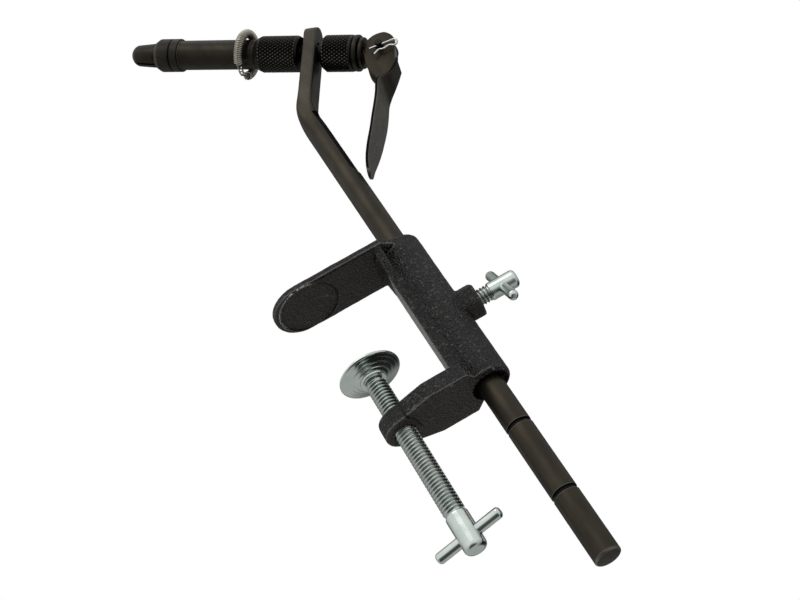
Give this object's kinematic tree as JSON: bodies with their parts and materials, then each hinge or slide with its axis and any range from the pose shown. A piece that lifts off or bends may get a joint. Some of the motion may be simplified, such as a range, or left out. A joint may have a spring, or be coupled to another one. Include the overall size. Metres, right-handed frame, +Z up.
{
  "type": "fly tying vise",
  "caption": "Bench-clamped hook vise: lever-closed collet head tilts on a bent round post held by a cast C clamp with a screw and pad.",
  "frame": {"origin": "centre line of the clamp screw where it meets the flat milled seat under the upper jaw, which rests on the bench top", "axes": "+Z up along the post, +X from the clamp's throat to the post, +Y completing the right-handed frame, so that the head's axis lies in the XZ plane and points to -X and up"},
  "size_m": [0.102, 0.024, 0.3202],
  "materials": {
    "granular_black_enamel": "granular black enamel on a rough casting",
    "black_oxide_steel": "oiled black oxide with brown tint",
    "bright_zinc": "bright zinc plate over turned steel",
    "spring_steel": "bare drawn spring wire"
  },
  "bodies": {
    "clamp": {"clamp_body": "granular_black_enamel"},
    "pad": {"clamp_pad": "bright_zinc"},
    "screw": {"clamp_screw": "bright_zinc", "clamp_tommy_bar": "bright_zinc"},
    "post_lock": {"lock_screw": "bright_zinc", "lock_cross_bar": "bright_zinc"},
    "stem": {"post": "black_oxide_steel"},
    "head": {"barrel": "black_oxide_steel", "collet_sleeve": "black_oxide_steel", "jam_ring": "black_oxide_steel", "thrust_collar": "black_oxide_steel", "collet_return_spring": "spring_steel", "material_clip_spring": "spring_steel"},
    "front_nut": {"front_knurled_nut": "black_oxide_steel"},
    "rear_nut": {"rear_knurled_nut": "black_oxide_steel"},
    "rod": {"draw_rod": "black_oxide_steel"},
    "lever": {"cam_lever": "black_oxide_steel", "cam_pin": "black_oxide_steel", "pin_clip": "spring_steel"},
    "jaw_near": {"collet_jaw_near": "black_oxide_steel"},
    "jaw_far": {"collet_jaw_far": "black_oxide_steel"}
  },
  "joints": [
    {"name": "pad_slide", "type": "slide", "parent": "clamp", "child": "pad", "axis": [0, 0, 1], "range_m": [-0.017, 0.036]},
    {"name": "screw_turn", "type": "hinge", "parent": "pad", "child": "screw", "pos_m": [0, 0, -0.0441], "axis": [0, 0, 1], "range_deg": [-4350, 9200]},
    {"name": "lock_turn", "type": "hinge", "parent": "clamp", "child": "post_lock", "pos_m": [0.0554, 0, -0.0346], "axis": [1, 0, 0], "range_deg": [0, 360]},
    {"name": "post_slide", "type": "slide", "parent": "clamp", "child": "stem", "axis": [0, 0, 1], "range_m": [-0.036, 0.07]},
    {"name": "head_tilt", "type": "hinge", "parent": "stem", "child": "head", "pos_m": [0.05051, 0, 0.11873], "axis": [0, -1, 0], "range_deg": [0, 20.6]},
    {"name": "front_nut_turn", "type": "hinge", "parent": "head", "child": "front_nut", "pos_m": [0.05051, 0, 0.11873], "axis": [-0.776, 0, 0.6307], "range_deg": [0, 360]},
    {"name": "rear_nut_turn", "type": "hinge", "parent": "head", "child": "rear_nut", "pos_m": [0.05051, 0, 0.11873], "axis": [-0.776, 0, 0.6307], "range_deg": [0, 360]},
    {"name": "rod_slide", "type": "slide", "parent": "head", "child": "rod", "axis": [-0.776, 0, 0.6307], "range_m": [-0.0012, 0]},
    {"name": "lever_lift", "type": "hinge", "parent": "rod", "child": "lever", "pos_m": [0.07456, 0, 0.09918], "axis": [0, -1, 0], "range_deg": [0, 90]},
    {"name": "jaw_near_close", "type": "hinge", "parent": "rod", "child": "jaw_near", "pos_m": [0.01641, 0, 0.14644], "axis": [-0.6307, 0, -0.776], "range_deg": [0, 0.61]},
    {"name": "jaw_far_close", "type": "hinge", "parent": "rod", "child": "jaw_far", "pos_m": [0.01641, 0, 0.14644], "axis": [0.6307, 0, 0.776], "range_deg": [0, 0.61]}
  ],
  "couplings": [
    {"joint": "screw_turn", "follows": "pad_slide", "rad_per_m": 4456.2},
    {"joint": "rod_slide", "follows": "lever_lift", "m_per_rad": -0.00076394},
    {"joint": "jaw_near_close", "follows": "lever_lift", "ratio": 0.006725},
    {"joint": "jaw_far_close", "follows": "lever_lift", "ratio": 0.006725}
  ]
}
